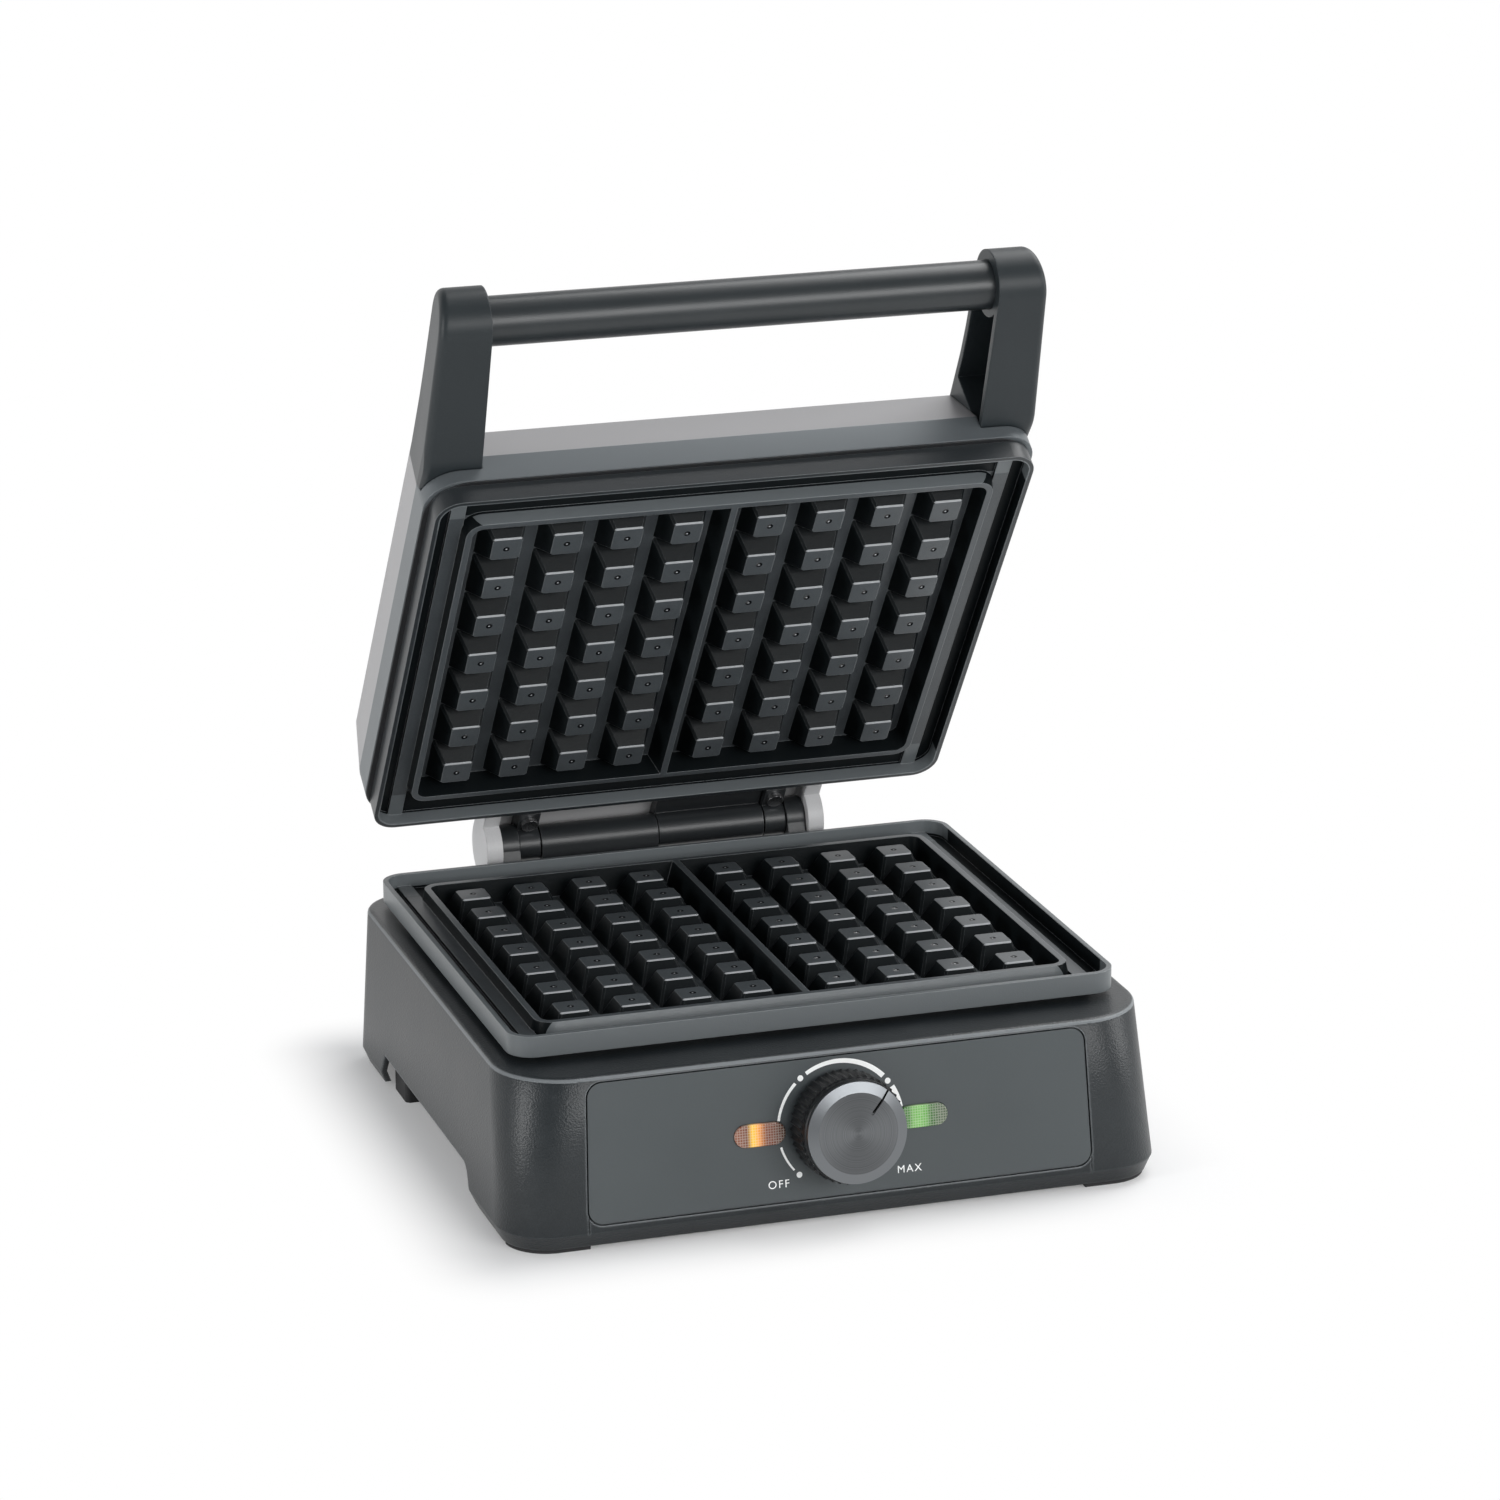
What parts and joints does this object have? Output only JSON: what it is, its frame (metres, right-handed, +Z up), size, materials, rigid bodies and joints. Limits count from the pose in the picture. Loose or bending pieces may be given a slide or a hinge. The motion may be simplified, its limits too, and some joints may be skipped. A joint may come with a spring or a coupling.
{
  "type": "belgian waffle maker",
  "caption": "Countertop waffle maker with a hinged lid, pegged baking plates, a bridge handle of tube and arms, and a front temperature knob between two lamps",
  "frame": {"origin": "on the table, under the middle of the bounding box, lid held open", "axes": "+Z up, +Y to the hinge at the back, +X to the right as seen from the front"},
  "size_m": [0.26, 0.291, 0.3385],
  "materials": {
    "housing_plastic": "fine leather grain, charcoal",
    "panel_plastic": "smooth satin, slate grey",
    "hinge_plastic": "smooth, black",
    "handle_plastic": "fine grain, charcoal",
    "tube_paint": "satin powder coat, charcoal",
    "lid_paint": "satin silver grey paint",
    "nonstick": "dark satin non-stick coat",
    "seat_plastic": "heat proof, black",
    "element_steel": "annealed tube",
    "sheet_steel": "pressed sheet",
    "screw_steel": "zinc plated",
    "pin_steel": "ground bar",
    "fuse_ceramic": "glazed body",
    "rubber": "matt black",
    "orange_lens": "clear orange, fluted",
    "green_lens": "clear green, fluted",
    "lamp_glass": "small neon lamp",
    "control_plastic": "brown moulding",
    "terminal_plastic": "natural moulding",
    "knob_plastic": "black, ribbed",
    "knob_metal": "turned face, dark anodised"
  },
  "bodies": {
    "base": {"base_housing": "housing_plastic", "plate_seat": "seat_plastic", "lower_plate": "nonstick", "lower_heater": "element_steel", "lower_heater_clips": "sheet_steel", "lower_reflector": "sheet_steel", "lower_plate_screws": "screw_steel", "lower_thermal_fuse": "fuse_ceramic", "bottom_cover": "seat_plastic", "cover_screws": "screw_steel", "front_feet": "rubber", "rear_feet": "rubber", "front_panel": "panel_plastic", "lens_orange": "orange_lens", "lens_green": "green_lens", "indicator_lamps": "lamp_glass", "control_bracket": "sheet_steel", "control_bracket_screws": "screw_steel", "control_body": "control_plastic", "terminal_block": "terminal_plastic", "cord_gland": "hinge_plastic", "hinge_bracket": "hinge_plastic", "hinge_bracket_screws": "screw_steel", "hinge_barrel_left": "hinge_plastic", "hinge_pin": "pin_steel"},
    "lid": {"lid_shell": "lid_paint", "lid_frame": "seat_plastic", "lid_frame_screws": "screw_steel", "upper_plate": "nonstick", "upper_heater": "element_steel", "upper_heater_clips": "sheet_steel", "upper_reflector": "sheet_steel", "upper_plate_screws": "screw_steel", "upper_thermal_fuse": "fuse_ceramic", "handle_arm_right": "handle_plastic", "handle_arm_left": "handle_plastic", "handle_tube": "tube_paint", "handle_screws": "screw_steel", "hinge_cover": "lid_paint", "hinge_cover_screws": "screw_steel", "hinge_knuckles": "hinge_plastic", "hinge_barrel_right": "hinge_plastic", "hinge_screws": "screw_steel"},
    "knob": {"knob_shaft": "pin_steel", "knob_skirt": "knob_plastic", "knob_face": "knob_metal"}
  },
  "joints": [
    {"name": "lid_hinge", "type": "hinge", "parent": "base", "child": "lid", "pos_m": [0, 0.12203, 0.077], "axis": [1, 0, 0], "range_deg": [-46, 54.19]},
    {"name": "knob_turn", "type": "hinge", "parent": "base", "child": "knob", "pos_m": [0, -0.12354, 0.03825], "axis": [0, -0.9919, 0.1267], "range_deg": [-98.6, 178.6]}
  ]
}
